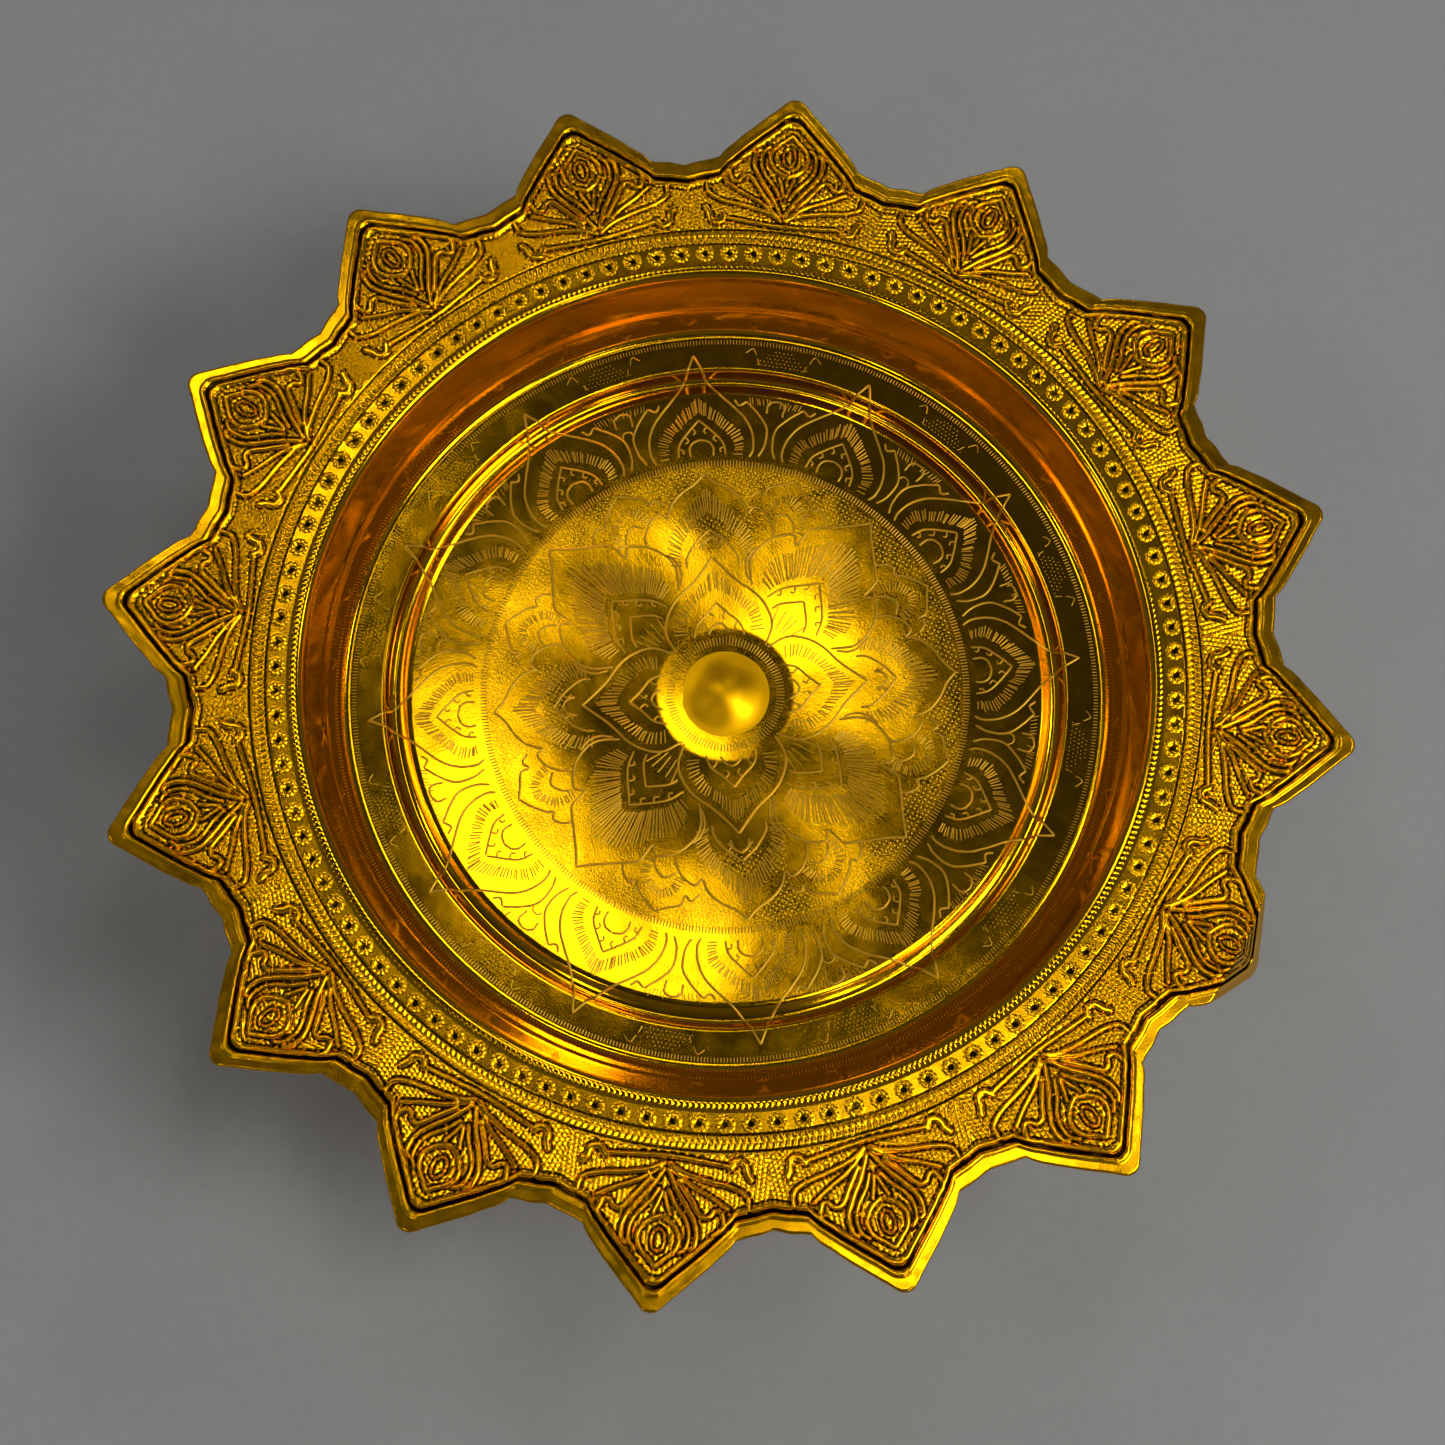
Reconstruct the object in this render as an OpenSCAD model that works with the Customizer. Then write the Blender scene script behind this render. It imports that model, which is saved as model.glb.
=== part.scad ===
// Pedestal tray in gold-lacquered sheet metal.
// A pressed dish with sixteen flat petals round its rim stands on a spun foot.
// The two are held together at the centre by one rivet, and its broad domed head is the
// boss in the middle of the dish. The tail of the rivet is spread over a washer inside the foot.
// Origin: centre of the ring the foot stands on. +Z up. A petal tip lies on +X.

/* [Petal rim] */
// Distance across two opposite petal tips (mm)
tray_diameter = 250; // [245:5:320]
// Height of the flat rim above the table (mm)
rim_height = 118; // [90:1:140]
// Number of petals
petals = 16; // [8:1:24]
// Depth of the notch between two petals (mm)
notch_depth = 15.8; // [5:0.5:25]
// Height of the raised border that follows the petal edge (mm)
border_height = 0.4; // [0.2:0.1:1]
// Height of the raised leaf in each petal (mm)
leaf_height = 0.3; // [0.2:0.1:1]

/* [Dish] */
// Thickness of the pressed sheet (mm)
sheet = 0.8; // [0.5:0.1:1.2]
// Radius of the bend between rim and wall (mm)
mouth_radius = 84.6; // [80:0.2:87]
// Depth of the outer floor below the rim (mm)
floor_depth = 14.5; // [8:0.5:30]
// Radius of the pressed ring groove (mm)
groove_radius = 67.1; // [50:0.5:71]
// Depth of the ring groove below the outer floor (mm)
groove_depth = 3; // [2:0.5:5]
// How far the middle of the floor sags below its edge (mm)
floor_sag = 2.2; // [0:0.1:4]

/* [Foot] */
// Radius of the ring the foot stands on (mm)
foot_radius = 74; // [55:1:80]
// Radius of the narrowest place of the foot (mm)
waist_radius = 29; // [22:1:40]
// Radius of the shoulder under the dish (mm)
shoulder_radius = 45; // [35:1:58]
// Radius of the rolled edge at the bottom (mm)
roll_radius = 1.5; // [1.4:0.1:2.5]

/* [Centre rivet] */
// Radius of the domed head (mm)
boss_radius = 9; // [6:0.5:14]
// Height of the domed head (mm)
boss_height = 2.4; // [1:0.1:4]
// Radius of the shank (mm)
shank_radius = 2; // [1.5:0.1:3]
// Radius of the washer inside the foot (mm)
washer_radius = 7; // [5:0.5:12]
// Thickness of the washer (mm)
washer_thickness = 1; // [0.6:0.1:2]

/* [Hidden] */
$fn = 96;

gold = [0.86, 0.62, 0.08];
old_gold = [0.72, 0.50, 0.08];
steel = [0.62, 0.62, 0.60];

tip_radius = tray_diameter / 2;
pitch = 360 / petals;
bead_rise = 0.5;                              // the rolled mouth stands this far above the rim
flat_radius = 14;                             // flat seat in the floor under the rivet head
inner_floor = floor_depth + 1.9;              // depth at the groove's inner edge
centre_depth = inner_floor + floor_sag;
seat_z = rim_height - centre_depth;           // top of the dish floor at the centre
inner_edge = groove_radius - 3.1;             // where the sagging floor meets the groove

// Cubic curve through p[0] and p[3], pulled towards p[1] and p[2].
function bezier(p, t) =
    pow(1 - t, 3) * p[0] + 3 * pow(1 - t, 2) * t * p[1] + 3 * (1 - t) * t * t * p[2] + t * t * t * p[3];
function curve(p, steps) = [for (i = [0 : steps]) bezier(p, i / steps)];

// Unit normal of a line of points at point i, turned to the left of its direction.
function direction(p, i) =
    let (d = p[min(i + 1, len(p) - 1)] - p[max(i - 1, 0)]) d / norm(d);
function shifted(p, i, by) = let (d = direction(p, i)) p[i] + by * [-d[1], d[0]];
function reversed(p) = [for (i = [len(p) - 1 : -1 : 0]) p[i]];
function band(p, thickness) = concat(p, reversed([for (i = [0 : len(p) - 1]) shifted(p, i, -thickness)]));

// Half a petal's edge as [degrees from its axis, radius], tip first: a pointed blade with
// full sides, then a small round lobe that runs into the notch.
blade_foot = tip_radius - notch_depth + 1.5;
half_blade = curve([
    [0, tip_radius],
    [0.142 * pitch / 2, tip_radius - 0.42 * notch_depth],
    [0.551 * pitch / 2, tip_radius - 0.62 * notch_depth],
    [0.667 * pitch / 2, blade_foot]
], 7);
half_lobe = [
    [0.742 * pitch / 2, blade_foot - 0.4],
    [0.862 * pitch / 2, blade_foot - 0.8],
    [0.933 * pitch / 2, blade_foot - 1.2],
    [pitch / 2, tip_radius - notch_depth]
];
half_petal = concat(half_blade, half_lobe);

// Closed outline of the whole rim, drawn in towards the centre by the factor k.
function polar(a, r) = [r * cos(a), r * sin(a)];
function outline(k) = [
    for (n = [0 : petals - 1]) each concat(
        [for (i = [len(half_petal) - 1 : -1 : 1]) polar(n * pitch - half_petal[i][0], k * half_petal[i][1])],
        [for (i = [0 : len(half_petal) - 2]) polar(n * pitch + half_petal[i][0], k * half_petal[i][1])]
    )
];

// Upper surface of the dish from the centre outwards, as [radius, height].
dish_line = concat(
    [
        [shank_radius, seat_z],
        [flat_radius, seat_z],
        [inner_edge - 15, rim_height - inner_floor - 0.5],
        [inner_edge, rim_height - inner_floor]
    ],
    curve([
        [inner_edge + 1, rim_height - inner_floor - 0.1],
        [groove_radius - 1, rim_height - floor_depth - groove_depth],
        [groove_radius, rim_height - floor_depth - groove_depth],
        [groove_radius + 1.1, rim_height - floor_depth - groove_depth + 0.9]
    ], 5),
    curve([
        [groove_radius + 1.6, rim_height - floor_depth - 0.9],
        [groove_radius + 2.1, rim_height - floor_depth - 0.1],
        [groove_radius + 2.4, rim_height - floor_depth],
        [groove_radius + 3.4, rim_height - floor_depth]
    ], 4),
    curve([
        [mouth_radius - 9.6, rim_height - floor_depth],
        [mouth_radius - 7.6, rim_height - floor_depth],
        [mouth_radius - 6.9, rim_height - floor_depth + 0.9],
        [mouth_radius - 6.2, rim_height - floor_depth + 2.6]
    ], 6),
    curve([
        [mouth_radius - 1.4, rim_height - 1.7],
        [mouth_radius - 0.8, rim_height + bead_rise + 0.35],
        [mouth_radius + 0.6, rim_height + bead_rise + 0.15],
        [mouth_radius + 2.2, rim_height]
    ], 7)
);

// Outer surface of the foot, from the centre of its top down to the rolled edge.
foot_top = seat_z - sheet;
shoulder_z = foot_top + (shoulder_radius - flat_radius) * (floor_sag - 0.5) / (inner_edge - 15 - flat_radius);
foot_line = concat(
    [
        [shank_radius, foot_top],
        [flat_radius, foot_top],
        [shoulder_radius - 2.4, shoulder_z - 0.15]
    ],
    curve([
        [shoulder_radius - 1.6, shoulder_z - 0.35],
        [shoulder_radius + 0.6, shoulder_z - 0.8],
        [shoulder_radius + 0.8, shoulder_z - 3.6],
        [shoulder_radius - 1.8, shoulder_z - 6.6]
    ], 6),
    curve([
        [shoulder_radius - 3.4, shoulder_z - 8.3],
        [waist_radius + 5, shoulder_z - 17],
        [waist_radius, shoulder_z - 22],
        [waist_radius, shoulder_z - 31]
    ], 8),
    curve([
        [waist_radius + 0.3, shoulder_z - 34],
        [waist_radius + 3, shoulder_z - 56],
        [foot_radius - 22, 20],
        [foot_radius - 5, 11.5]
    ], 14),
    curve([
        [foot_radius - 3.8, 10.9],
        [foot_radius - 1.6, 9.6],
        [foot_radius - 0.6, 8.4],
        [foot_radius - 0.6, 2.2]
    ], 6)
);

// A leaf with a pointed tip and a rounded heel, as wide as 2 * w and as long as l.
function leaf(w, l) =
    let (side = curve([[0, 0], [0.12 * l, 1.25 * w], [0.62 * l, 1.05 * w], [l, 0]], 6))
    concat(side, [for (i = [len(side) - 2 : -1 : 1]) [side[i][0], -side[i][1]]]);

module petal_ornament() {
    // the long leaf in the middle and two pairs of side leaves, raised from the sheet
    linear_extrude(leaf_height + 0.2) {
        translate([mouth_radius + 10.5, 0]) polygon(leaf(4.4, 21.5));
        for (side = [-1, 1]) {
            translate([mouth_radius + 10, side * 3.6]) rotate(side * 40) polygon(leaf(2.6, 14));
            translate([mouth_radius + 10, side * 5.4]) rotate(side * 68) polygon(leaf(2.0, 10.5));
        }
    }
}

module dish() {
    color(gold) {
        difference() {
            union() {
                // floor, groove, wall and rolled mouth
                rotate_extrude() polygon(band(dish_line, sheet));
                // flat rim, cut to the petals
                translate([0, 0, rim_height - sheet]) linear_extrude(sheet) difference() {
                    polygon(outline(1));
                    circle(mouth_radius + 1.6);
                }
                // raised border that follows the petals
                translate([0, 0, rim_height - 0.2]) linear_extrude(border_height + 0.2) difference() {
                    polygon(outline(0.98));
                    polygon(outline(0.958));
                }
                for (n = [0 : petals - 1])
                    rotate(n * pitch) translate([0, 0, rim_height - 0.2]) petal_ornament();
            }
            translate([0, 0, seat_z - 2 * sheet]) cylinder(r = shank_radius, h = 4 * sheet);
        }
    }
}

module foot() {
    color(old_gold) difference() {
        union() {
            rotate_extrude() polygon(band(foot_line, -sheet));
            // edge rolled outwards, with the narrow flat it stands on
            rotate_extrude() translate([foot_radius, 0]) intersection() {
                translate([0, roll_radius * 0.7]) circle(roll_radius, $fn = 24);
                translate([-5, 0]) square([10, 10]);
            }
        }
        translate([0, 0, foot_top - 2 * sheet]) cylinder(r = shank_radius, h = 4 * sheet);
    }
}

module rivet() {
    washer_base = foot_top - sheet - washer_thickness;
    dome_r = (boss_radius * boss_radius + boss_height * boss_height) / (2 * boss_height);
    color(gold) {
        // domed head, seen in the dish
        intersection() {
            translate([0, 0, seat_z + boss_height - dome_r]) sphere(dome_r);
            translate([0, 0, seat_z]) cylinder(r = boss_radius, h = boss_height + 1);
        }
        // shank through dish, foot and washer
        translate([0, 0, washer_base - 0.5]) cylinder(r = shank_radius, h = seat_z - washer_base + 1);
        // tail spread over the washer
        translate([0, 0, washer_base - 1.6]) cylinder(r1 = 2.6, r2 = 3.8, h = 1.6);
    }
}

module washer() {
    color(steel) translate([0, 0, foot_top - sheet - washer_thickness]) difference() {
        cylinder(r = washer_radius, h = washer_thickness);
        translate([0, 0, -1]) cylinder(r = shank_radius, h = washer_thickness + 2);
    }
}

dish();
foot();
rivet();
washer();
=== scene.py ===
# %% [markdown]
# # A gold pedestal tray with a chased floor and stamped petals
#
# The real tray is a disc of thin sheet metal. A press draws the dish, the ring groove and the
# petal rim in one go, and a die stamps the petals' ornament at the same time. The floor is then
# chased by hand: a worker drives thousands of short grooves into it with a small blunt chisel.
# A spun foot is riveted underneath, and the whole thing is lacquered gold.
#
# The petals are made much the same way here. They have a **die**, a grid of heights into which
# each line is drawn, and a flat grid of faces laid over the rim takes its heights from it. The
# lines of the floor are too fine for that, so they are thin beveled curves laid on the sheet.
# Either way a line is real geometry that catches light, and not a painted picture of one.

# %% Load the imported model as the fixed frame
import math

import bpy
import numpy as np
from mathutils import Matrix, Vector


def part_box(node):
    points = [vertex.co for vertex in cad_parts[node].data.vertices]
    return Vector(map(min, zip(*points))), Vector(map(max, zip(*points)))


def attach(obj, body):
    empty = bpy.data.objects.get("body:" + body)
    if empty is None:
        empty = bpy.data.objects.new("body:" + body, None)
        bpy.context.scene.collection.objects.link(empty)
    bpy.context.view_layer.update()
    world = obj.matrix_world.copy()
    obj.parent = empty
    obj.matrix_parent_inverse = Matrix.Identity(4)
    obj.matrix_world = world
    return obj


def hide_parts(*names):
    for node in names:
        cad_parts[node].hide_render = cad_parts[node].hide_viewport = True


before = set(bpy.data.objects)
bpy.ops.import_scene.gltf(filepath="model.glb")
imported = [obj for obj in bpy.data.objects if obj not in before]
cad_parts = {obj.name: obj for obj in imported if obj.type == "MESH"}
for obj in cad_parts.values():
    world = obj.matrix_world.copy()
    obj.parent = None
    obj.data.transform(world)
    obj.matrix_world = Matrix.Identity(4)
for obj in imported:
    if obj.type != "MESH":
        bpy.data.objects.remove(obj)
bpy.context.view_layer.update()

# %% [markdown]
# ## Sizes
# All shapes below are thought out in millimetres, because that is how a tray maker thinks, and
# turned to metres only when they become a mesh. A petal tip lies on +X. The chased flower of the
# floor is turned a little against the petals, as it is when nobody lines the two up.

# %% The tray's main sizes, in millimetres
MM = 0.001
TOP = 118.0            # height of the rim
GROUND = 117.75        # height of the rim's ground between its raised lines
TIP = 125.0            # radius of the petal tips
NOTCH = 109.2          # radius of the notches
MOUTH = 84.6           # radius of the bend between rim and wall
SHEET = 0.8            # thickness of the sheet
PETALS = 16
PITCH = 2 * math.pi / PETALS
FLOOR_TURN = math.radians(-10.3)      # the chased flower against the petals
rng = np.random.default_rng(7)
print("petal pitch: %.2f degrees" % math.degrees(PITCH))

# %% [markdown]
# ## The camera
# The tray is seen from about half a metre above its rim, about fourteen degrees off straight
# down. The camera is made first so that every later look is through it.

# %% Camera
from mathutils import Matrix, Vector

tilt, roll, turn = math.radians(14.04), math.radians(-1.03), math.radians(15.77)
look = Matrix(((math.cos(roll), 0, -math.sin(roll)),
               (math.sin(tilt) * math.sin(roll), math.cos(tilt), math.sin(tilt) * math.cos(roll)),
               (math.sin(roll) * math.cos(tilt), -math.sin(tilt), math.cos(tilt) * math.cos(roll))))
look = look @ Matrix.Rotation(turn, 3, "Z")          # rows: right, up, backwards
aim = Vector((0.011, 0.122, -6.120)) * MOUTH * MM    # the middle of the mouth, seen by the camera
cam_data = bpy.data.cameras.new("camera")
cam_data.sensor_width = 36
cam_data.lens = 65.423
camera = bpy.data.objects.new("camera", cam_data)
bpy.context.collection.objects.link(camera)
camera.matrix_world = (Matrix.Translation(Vector((0, 0, TOP * MM)) - look.transposed() @ aim)
                       @ look.transposed().to_4x4())
bpy.context.scene.camera = camera
print("camera at", [round(v, 3) for v in camera.location], "lens %.1f mm" % cam_data.lens)

# %% [markdown]
# ## Curves to draw with
# Every leaf and petal is a soft line through a few points. A Catmull-Rom curve passes through
# all of its points, so a shape can be described by the places a chisel would really go through.

# %% Soft lines, turning and mirroring
def soft(points, steps=6):
    """A smooth line through all the points."""
    p = np.array(points, float)
    p = np.vstack([2 * p[0] - p[1], p, 2 * p[-1] - p[-2]])
    t = np.linspace(0, 1, steps, endpoint=False)[:, None]
    out = []
    for a, b, c, d in zip(p[:-3], p[1:-2], p[2:-1], p[3:]):
        out.append(0.5 * (2 * b + (c - a) * t + (2 * a - 5 * b + 4 * c - d) * t**2
                          + (3 * b - a - 3 * c + d) * t**3))
    return np.vstack(out + [p[-2:-1]])


def turned(line, angle):
    """The line turned round the middle of the tray."""
    c, s = math.cos(angle), math.sin(angle)
    return np.asarray(line, float) @ np.array([[c, s], [-s, c]])


def mirrored(line):
    """The same line on the other side of the X axis."""
    return np.asarray(line, float) * [1, -1]


def along(line, count):
    """Points at equal steps along a line."""
    line = np.asarray(line, float)
    s = np.concatenate([[0], np.cumsum(np.hypot(*np.diff(line, axis=0).T))])
    u = np.linspace(0, s[-1], count)
    return np.stack([np.interp(u, s, line[:, 0]), np.interp(u, s, line[:, 1])], -1)


# %% [markdown]
# ## The die
# The die holds one height for every tenth of a millimetre. `press` drives a line into it: across
# the line the depth follows a rounded profile, as a blunt tool leaves. Where two lines cross, the
# deeper one wins. `read` gives the height at any place by weighing the four nearest cells.

# %% A die that lines are pressed into
class Die:
    def __init__(self, x0, x1, y0, y1, step=0.1):
        self.x0, self.y0, self.step = x0, y0, step
        self.h = np.zeros((int((y1 - y0) / step) + 2, int((x1 - x0) / step) + 2), np.float32)

    def press(self, line, width, height, full=False):
        """Presses a line into the die, sizes in mm. A height below zero makes a groove.
        With full, the line is nearly flat on top."""
        line = np.asarray(line, float)
        half = width / 2
        for p, q in zip(line[:-1], line[1:]):
            lo = np.minimum(p, q) - half
            hi = np.maximum(p, q) + half
            i0, j0 = int((lo[0] - self.x0) / self.step), int((lo[1] - self.y0) / self.step)
            i1, j1 = int((hi[0] - self.x0) / self.step) + 2, int((hi[1] - self.y0) / self.step) + 2
            i0, j0 = max(i0, 0), max(j0, 0)
            part = self.h[j0:j1, i0:i1]
            if part.size == 0:
                continue
            x = self.x0 + self.step * np.arange(i0, i0 + part.shape[1])
            y = (self.y0 + self.step * np.arange(j0, j0 + part.shape[0]))[:, None]
            d = q - p
            t = np.clip(((x - p[0]) * d[0] + (y - p[1]) * d[1]) / max(d @ d, 1e-9), 0, 1)
            away = np.hypot(x - p[0] - t * d[0], y - p[1] - t * d[1]) / half
            cut = height * (np.clip(1 - away**4, 0, 1) if full else np.clip(1 - away**2, 0, 1) ** 1.5)
            deeper = np.abs(cut) > np.abs(part)
            part[deeper] = cut[deeper]

    def read(self, x, y):
        """Height of the die at any place."""
        u = np.clip((x - self.x0) / self.step, 0, self.h.shape[1] - 2.001)
        v = np.clip((y - self.y0) / self.step, 0, self.h.shape[0] - 2.001)
        i, j = u.astype(int), v.astype(int)
        u, v = u - i, v - j
        h = self.h
        return ((h[j, i] * (1 - u) + h[j, i + 1] * u) * (1 - v)
                + (h[j + 1, i] * (1 - u) + h[j + 1, i + 1] * u) * v)


# %% [markdown]
# ## The profile of the dish
# From the centre outwards: a flat seat under the boss, a floor that sags a little, the ring
# groove, the outer floor, the wall, and the rolled mouth. The sheet is never quite true after
# pressing, so slow dents a few hundredths of a millimetre deep are added to the floor. They are
# what makes the reflections in the real floor run and break up.

# %% Profile, slow dents and the height of the floor anywhere
def bezier(p, count):
    t = np.linspace(0, 1, count)[:, None]
    p = np.array(p, float)
    return (1 - t)**3 * p[0] + 3 * (1 - t)**2 * t * p[1] + 3 * (1 - t) * t * t * p[2] + t**3 * p[3]


profile = np.vstack([
    [(2, 99.4), (14, 99.4), (20, 99.66), (30, 100.15), (40, 100.65), (49, 101.1), (64, 101.6)],
    bezier([(64.6, 101.5), (66.3, 100.6), (67.2, 100.3), (67.9, 101.1)], 12),
    bezier([(68.7, 102.9), (68.95, 103.4), (69.1, 103.45), (69.6, 103.45)], 10),
    bezier([(75.9, 103.45), (77.2, 103.45), (77.6, 104.0), (78.1, 105.4)], 12),
    bezier([(79.6, 108.9), (79.9, 109.4), (80.3, 109.9), (80.8, 111.2)], 8),      # a faint step in the wall
    bezier([(83.2, 116.3), (83.8, 118.75), (85.2, 118.55), (86.8, 117.75)], 14)])
print("profile: %d points, %.2f to %.2f mm high" % (len(profile), min(profile[:, 1]), max(profile[:, 1])))


def waves(x, y, size, seed, count=7):
    """Slow, even dents: a few sine waves crossing at odd angles."""
    r = np.random.default_rng(seed)
    out = 0
    for _ in range(count):
        a, ph = r.uniform(0, 2 * math.pi), r.uniform(0, 2 * math.pi)
        k = 2 * math.pi / (size * r.uniform(0.7, 1.5))
        out = out + np.sin(k * (x * math.cos(a) + y * math.sin(a)) + ph)
    return out / count


def dents(x, y):
    """How far the sheet is off its true profile: most on the inner floor, little further out."""
    near = np.clip((64.3 - np.hypot(x, y)) / 3, 0.12, 1)
    return near * (0.05 * waves(x, y, 24, 3) + 0.006 * waves(x, y, 7.5, 5) + swell.read(x, y))


def floor_height(x, y):
    r = np.hypot(x, y)
    return np.interp(r, profile[:, 0], profile[:, 1]) + dents(x, y)


# %% [markdown]
# ## Chasing the floor
# The floor's flower repeats every quarter turn, and each quarter is the same on both sides of
# its middle. So each kind of petal is described once, lying on the X axis, as half a shape:
# its outline, the fringe of short strokes inside it, and the small hearts in its middle. The
# strokes get small differences in place and depth, because they are struck by hand.
#
# A stroke is only about half a millimetre wide. A grid fine enough for that would need millions
# of faces, so each stroke is a piece of a beveled curve, sunk in the sheet so far that only a low
# ridge shows, and they are turned into three meshes. A fine ridge catches the light much as a
# fine groove does, and the ridge can be laid on.

# %% Half shapes of the floor's petals: [distance from the centre, distance to the side]
inner_petal = {
    "outline": [(29.2, 0), (24.3, 4.1), (20.8, 8.1), (17.5, 10.2), (13.8, 10.9), (9.6, 9.2)],
    "fringe_out": [(26.6, 0.2), (23.2, 3.4), (20, 6.8), (16.8, 9.0), (13.2, 9.3)],
    "fringe_in": [(22.3, 0.1), (20.6, 3.0), (18.3, 5.2), (15.6, 6.7), (13.2, 6.5)],
    "strokes": 19,
    "hearts": [[(19.6, 0), (17.1, 2.2), (15.0, 4.4), (12.4, 5.2)],
               [(15.2, 0), (14.5, 1.3), (13.0, 2.2)]],
    "nicks": [[(17.6, 1.7), (16.6, 0.9), (15.9, 1.4)], [(15.2, 4.1), (14.2, 3.2), (13.4, 3.6)]],
}
outer_petal = {
    "outline": [(47.1, 0), (45.0, 2.2), (43.4, 4.9), (41.0, 7.3), (37.9, 8.4)],
    "fringe_out": [(43.8, 0.2), (40.8, 3.2), (37.2, 6.4), (33, 8.7), (28.2, 9.0)],
    "fringe_in": [(38.8, 0.1), (36.6, 2.7), (34, 4.8), (31, 6.2), (27.8, 6.3)],
    "strokes": 22,
    "hearts": [[(35.0, 0), (32.5, 3.0), (29.3, 5.2), (27.2, 5.4)],
               [(33.3, 0), (32.3, 1.4), (30.6, 1.9)]],
    "nicks": [[(33.1, 2.6), (32.0, 1.9), (31.2, 2.5)]],
}
heart_petal = {
    "outline": [(72.3, 0), (68.2, 2.0), (64.6, 4.3), (60.8, 7.7), (57.9, 9.8), (54.6, 10.8),
                (51.4, 10.6), (49.9, 9.7)],
    "fringe_out": [(63.7, 0.3), (61.4, 2.9), (58, 6.3), (54.5, 8.9), (50.8, 8.6)],
    "fringe_in": [(60.4, 0.2), (58.5, 2.6), (55.6, 5.6), (53, 6.9), (51.0, 6.7)],
    "strokes": 23,
    "hearts": [[(58.8, 0), (56.1, 2.6), (53.6, 4.5), (50.9, 4.9)],
               [(54.5, 0), (53.9, 1.7), (52.6, 2.5), (50.9, 2.4)]],
    "nicks": [[(57.3, 1.5), (56.5, 0.8), (55.9, 1.2)], [(55.3, 3.3), (54.5, 2.6), (53.8, 3.2)],
              [(52.6, 4.7), (52.2, 3.9), (51.5, 4.0)]],
}
corner_petal = {       # lies on the X axis here, on the diagonals of the floor
    "outline": [(47.1, 0), (44.2, 2.6), (39.0, 8.1), (37.6, 8.9), (33.7, 8.8), (35.1, 10.8),
                (32.0, 13.5), (28.0, 14.5), (24.5, 13.7), (21.2, 10.5)],
    "fringe_out": [(40.8, 0.6), (38.9, 3.8), (33.4, 8.2), (27.6, 11.0), (23.2, 9.8)],
    "fringe_in": [(32.0, 0.4), (31.3, 1.4), (28.6, 3.9), (25.6, 6.2), (22.8, 7.0)],
    "strokes": 27,
    "hearts": [[(30.4, 0), (25.0, 5.0), (21.2, 6.5)], [(25.4, 0), (22.2, 3.2), (20.1, 4.1)]],
    "nicks": [[(28.8, 1.5), (28.0, 1.0), (27.3, 1.6)], [(26.6, 3.4), (25.7, 2.8), (25.1, 3.5)],
              [(24.2, 5.4), (23.4, 4.7), (22.8, 5.2)]],
}

# %% Collect strokes, and chase one petal with its mirror image
OUTLINE, HEART = (0.62, 0.17), (0.56, 0.16)   # width and height of a stroke in mm
FRINGE, NICK = (0.46, 0.15), (0.46, 0.13)
LEAF, CURL = (0.60, 0.16), (0.54, 0.15)
FAINT, FAINTEST = (0.27, 0.07), (0.24, 0.05)
strokes = []                                  # (points in mm, width, height above the sheet)
swell = Die(-78, 78, -78, 78, step=0.5)       # the sheet swells a little between the strokes


def struck(line, jitter=0.12):
    """A line with the small error of a hand."""
    line = np.array(line, float)
    return line + rng.normal(0, jitter, (1, 2)) + rng.normal(0, jitter * 0.35, line.shape)


def chase(line, width, height):
    strokes.append((np.asarray(line, float), width, height))


def as_drawn(line):
    return np.asarray(line, float)


def chase_petal(petal, angle):
    for side in (as_drawn, mirrored):
        place = lambda line: turned(side(line), angle)
        chase(struck(place(soft(petal["outline"])), 0.05), *OUTLINE)
        out = along(soft(petal["fringe_out"]), petal["strokes"])
        inn = along(soft(petal["fringe_in"]), petal["strokes"])
        for a, b in zip(out, inn):
            line = struck(place([a + (b - a) * rng.uniform(0, 0.1), b]))
            chase(line, FRINGE[0], FRINGE[1] * rng.uniform(0.75, 1.15))
        for line in petal["hearts"]:
            chase(struck(place(soft(line)), 0.05), *HEART)
        for line in petal["nicks"]:
            chase(struck(place(soft(line)), 0.08), *NICK)


def swell_petal(radius, angle, size):
    """A low, slightly tilted dome over one petal."""
    middle = turned([(radius, 0)], angle)[0] + rng.normal(0, 0.6, 2)
    y, x = np.mgrid[0:swell.h.shape[0], 0:swell.h.shape[1]] * swell.step + swell.x0
    x, y = x - middle[0], y - middle[1]
    lean = rng.normal(0, 0.004, 2)
    swell.h += np.exp(-(x ** 2 + y ** 2) / size ** 2) * (rng.uniform(0.01, 0.03) + lean[0] * x + lean[1] * y)


for k in range(4):
    a = FLOOR_TURN + k * math.pi / 2
    chase_petal(inner_petal, a)
    chase_petal(outer_petal, a)
    chase_petal(corner_petal, a + math.pi / 4)
    swell_petal(19, a, 7)
    swell_petal(37, a, 6)
    swell_petal(30, a + math.pi / 4, 9)
for k in range(12):
    chase_petal(heart_petal, FLOOR_TURN + k * math.pi / 6)
    swell_petal(56, FLOOR_TURN + k * math.pi / 6, 6)
print("strokes so far:", len(strokes))

# %% [markdown]
# Between the petals the worker fills every gap: small side petals with a fringe of their own,
# leaves behind the hearts, curls, fans of strokes, and a ground of dots.

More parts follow.
